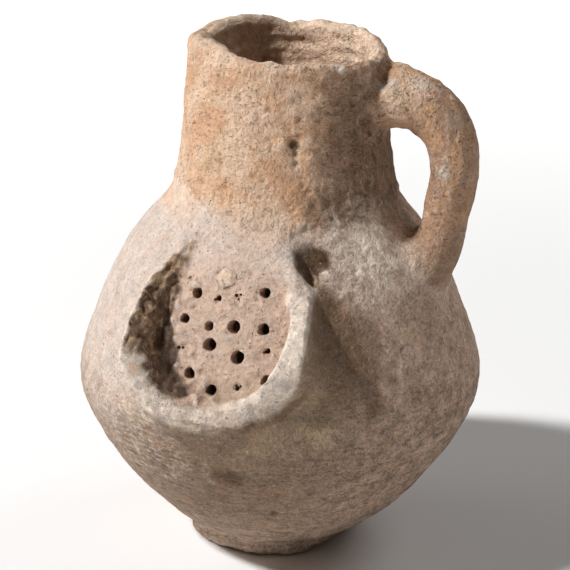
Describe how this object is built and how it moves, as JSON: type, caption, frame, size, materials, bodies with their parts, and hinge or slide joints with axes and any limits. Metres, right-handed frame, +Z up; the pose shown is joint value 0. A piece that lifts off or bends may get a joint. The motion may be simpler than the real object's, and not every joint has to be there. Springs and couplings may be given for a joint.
{
  "type": "strainer-spout jug",
  "caption": "Hand-made fired-clay jug with a flaring belly, short cylindrical neck, a loop handle and an open trough spout over a pierced strainer wall.",
  "frame": {"origin": "centre of the foot's flat underside, on the jug's turning axis", "axes": "+Z up along the turning axis, -Y towards the trough spout, +X towards the handle"},
  "size_m": [0.1404, 0.1502, 0.182],
  "materials": {
    "cream_clay": "matt unglazed, pale slip, dusty",
    "tan_clay": "matt unglazed, rough, orange-tan",
    "grey_clay": "matt unglazed, grey-brown with drag marks"
  },
  "bodies": {
    "root": {"foot_disc": "grey_clay", "pierced_body": "cream_clay", "neck": "tan_clay", "neck_luting_coil": "tan_clay", "spout_trough": "cream_clay", "spout_luting_roll": "grey_clay", "handle_strap": "tan_clay", "handle_top_luting": "tan_clay", "handle_foot_luting": "cream_clay"}
  },
  "joints": []
}
